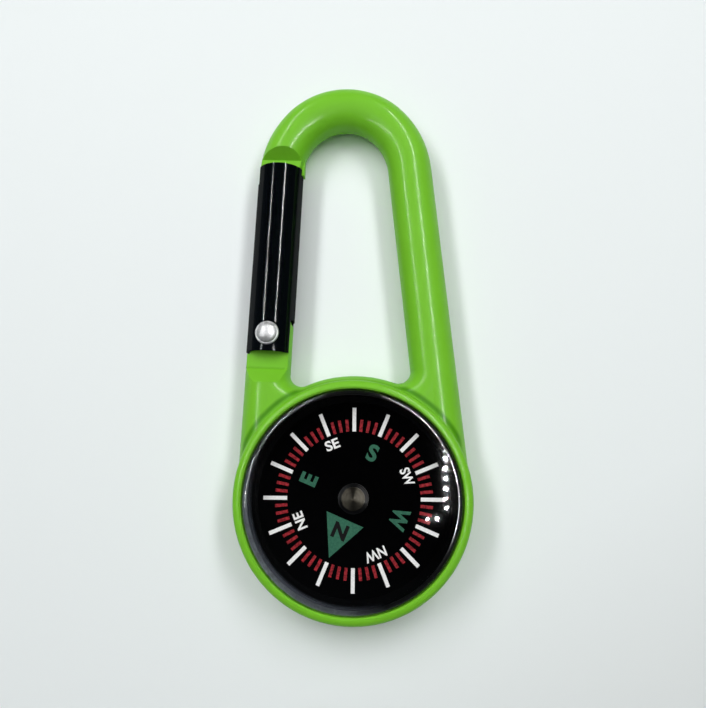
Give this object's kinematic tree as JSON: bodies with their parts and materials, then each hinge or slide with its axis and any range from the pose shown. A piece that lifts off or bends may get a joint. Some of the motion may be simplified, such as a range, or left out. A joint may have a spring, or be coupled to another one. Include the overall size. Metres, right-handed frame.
{
  "type": "carabiner compass",
  "caption": "Snap hook whose round lower end holds a liquid compass. A sprung sheet gate swings inward, and a floating card turns on a pin under a domed lens.",
  "frame": {"origin": "on the compass axis, on the flat back face of the bezel", "axes": "+Z out of the dial along the compass axis, +Y from the dial to the hook's arch, +X to the right as seen from the front, away from the gate"},
  "size_m": [0.0424, 0.101, 0.0124],
  "materials": {
    "green_moulding": "semi-gloss moulded nylon",
    "black_lacquer": "gloss black lacquer on rolled steel sheet",
    "rivet_steel": "bright plated",
    "inner_steel": "turned steel",
    "spring_steel": "drawn wire",
    "black_plastic": "gloss black",
    "seal_rubber": "dull",
    "clear_lens": "clear polished acrylic",
    "card_black": "satin black",
    "cap_metal": "turned, with fine rings",
    "magnet": "plain steel strip",
    "white_ink": "hot stamped white",
    "red_ink": "hot stamped red",
    "green_ink": "luminous green ink"
  },
  "bodies": {
    "frame": {"carabiner_body": "green_moulding", "capsule_cup": "black_plastic", "lens_seal": "seal_rubber", "capsule_lens": "clear_lens", "pivot_pin": "inner_steel"},
    "gate": {"gate_sleeve": "black_lacquer", "gate_rivet": "rivet_steel", "gate_spring": "spring_steel", "spring_stop": "inner_steel"},
    "plunger": {"gate_plunger": "inner_steel"},
    "card": {"compass_card": "card_black", "card_hub": "card_black", "bearing_cap": "cap_metal", "card_magnet": "magnet", "white_ticks": "white_ink", "red_ticks": "red_ink", "north_arrow": "green_ink"}
  },
  "joints": [
    {"name": "gate_hinge", "type": "hinge", "parent": "frame", "child": "gate", "pos_m": [-0.01487, 0.03043, 0.0052], "axis": [0, 0, -1], "range_deg": [0, 30], "stiffness_Nm_per_rad": 0.005, "springref_deg": -60.16},
    {"name": "plunger_slide", "type": "slide", "parent": "gate", "child": "plunger", "axis": [0.0707, 0.9975, 0], "range_m": [0, 0.0009], "deforming": ["gate_spring"]},
    {"name": "card_spin", "type": "hinge", "parent": "frame", "child": "card", "pos_m": [0, 0, 0.0052], "axis": [0, 0, 1], "continuous": true}
  ],
  "couplings": [
    {"joint": "plunger_slide", "follows": "gate_hinge", "m_per_rad": 0.0016}
  ]
}
